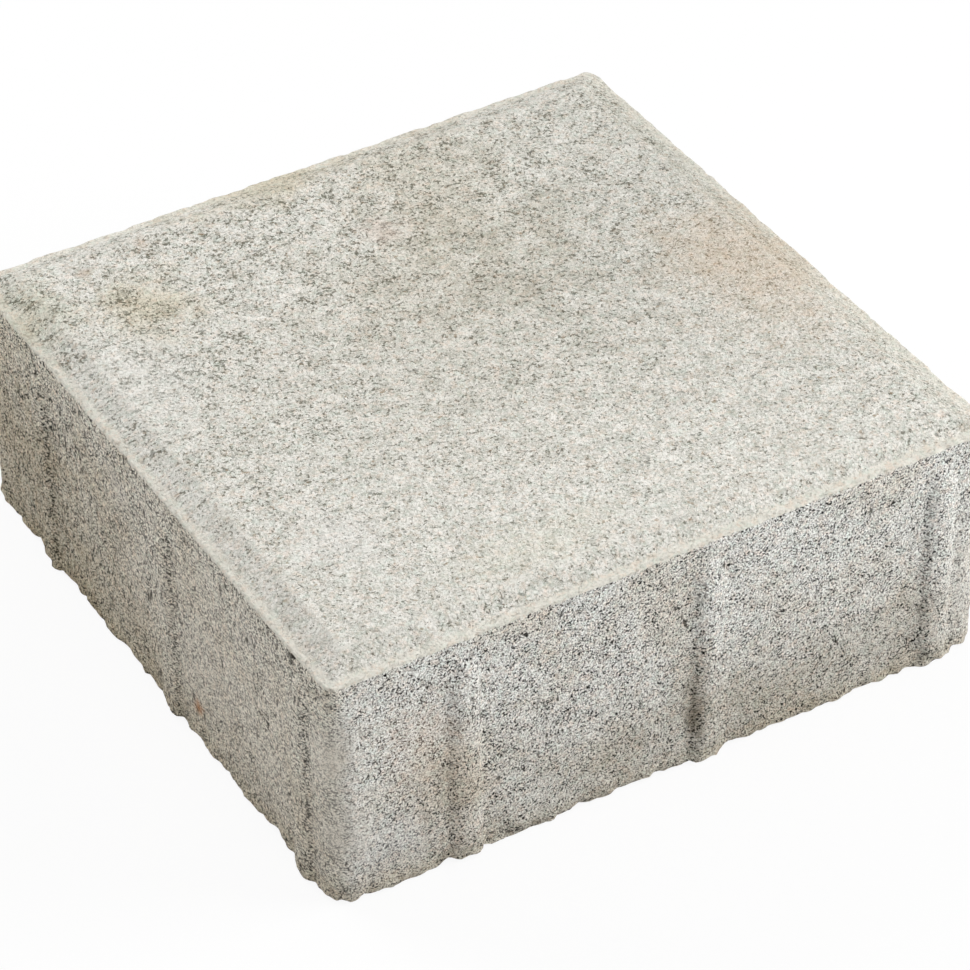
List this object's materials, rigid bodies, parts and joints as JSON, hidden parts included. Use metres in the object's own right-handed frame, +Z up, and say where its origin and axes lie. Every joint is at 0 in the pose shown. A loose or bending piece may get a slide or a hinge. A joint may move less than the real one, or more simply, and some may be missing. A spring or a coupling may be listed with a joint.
{
  "type": "concrete paving block",
  "caption": "Square grey vibro-pressed concrete paving block with a shallow top chamfer inside a narrow lip and upright spacer ribs on its side faces.",
  "frame": {"origin": "middle of the underside, on the ground", "axes": "+Z up, from the underside to the wearing face; +X and +Y along two neighbouring sides"},
  "size_m": [0.2114, 0.2114, 0.08],
  "materials": {
    "concrete": "fine-grained pressed concrete, matt, with small open pits"
  },
  "bodies": {
    "root": {"paving_block": "concrete"}
  },
  "joints": []
}
